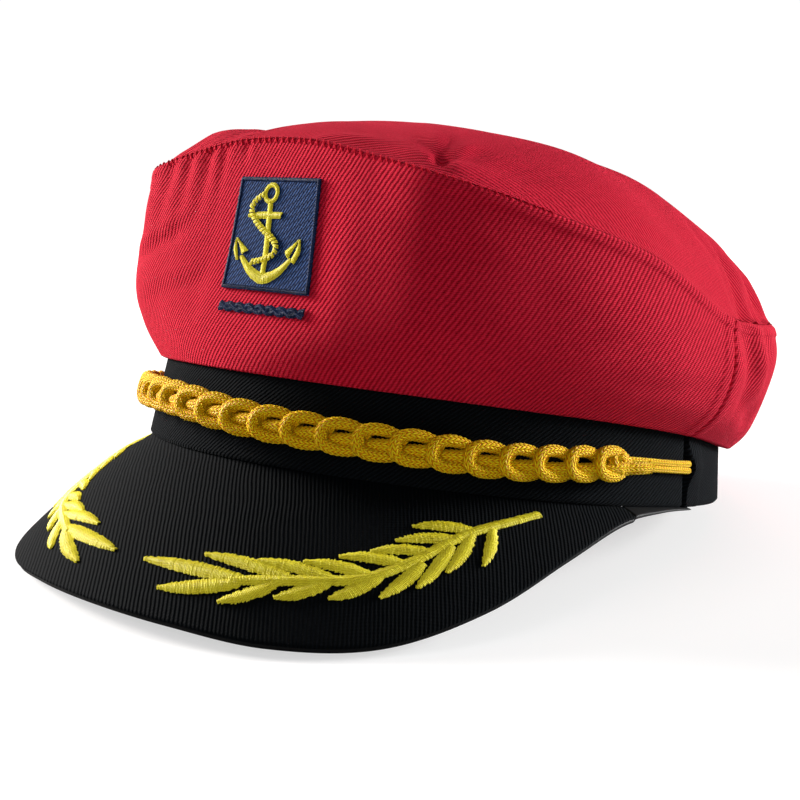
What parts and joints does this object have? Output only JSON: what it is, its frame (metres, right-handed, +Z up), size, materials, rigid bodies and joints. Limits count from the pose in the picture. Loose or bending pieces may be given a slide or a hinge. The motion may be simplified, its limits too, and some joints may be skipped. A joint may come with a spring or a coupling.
{
  "type": "captain hat",
  "caption": "Soft-crowned captain hat in red and black cloth with a stiff peak, a plaited golden cord, an anchor badge and embroidered laurel sprigs.",
  "frame": {"origin": "middle of the bounding box's underside, on the surface the hat stands on", "axes": "+Z up from the surface the hat stands on; -Y towards the peak, the front of the hat; +X towards the wearer's left. The hat stands on the peak's edge and on the back of the band, so its band is tilted front up."},
  "size_m": [0.1954, 0.2666, 0.127],
  "materials": {
    "red_twill": "matt cotton twill",
    "black_twill": "matt cotton twill",
    "black_rib": "matt ribbed cotton",
    "black_board": "smooth satin",
    "gold_cord": "shiny knitted cord",
    "navy_thread": "satin-stitch embroidery",
    "yellow_thread": "satin-stitch embroidery"
  },
  "bodies": {
    "root": {"crown_front": "red_twill", "crown_back": "red_twill", "crown_top": "red_twill", "band_front": "black_twill", "band_back": "black_twill", "peak_cover": "black_rib", "peak_board": "black_board", "cord_braid": "gold_cord", "cord_tail_left": "gold_cord", "cord_tail_right": "gold_cord", "badge_patch": "navy_thread", "badge_anchor": "yellow_thread", "badge_wave": "navy_thread", "laurel_left": "yellow_thread", "laurel_right": "yellow_thread"}
  },
  "joints": []
}
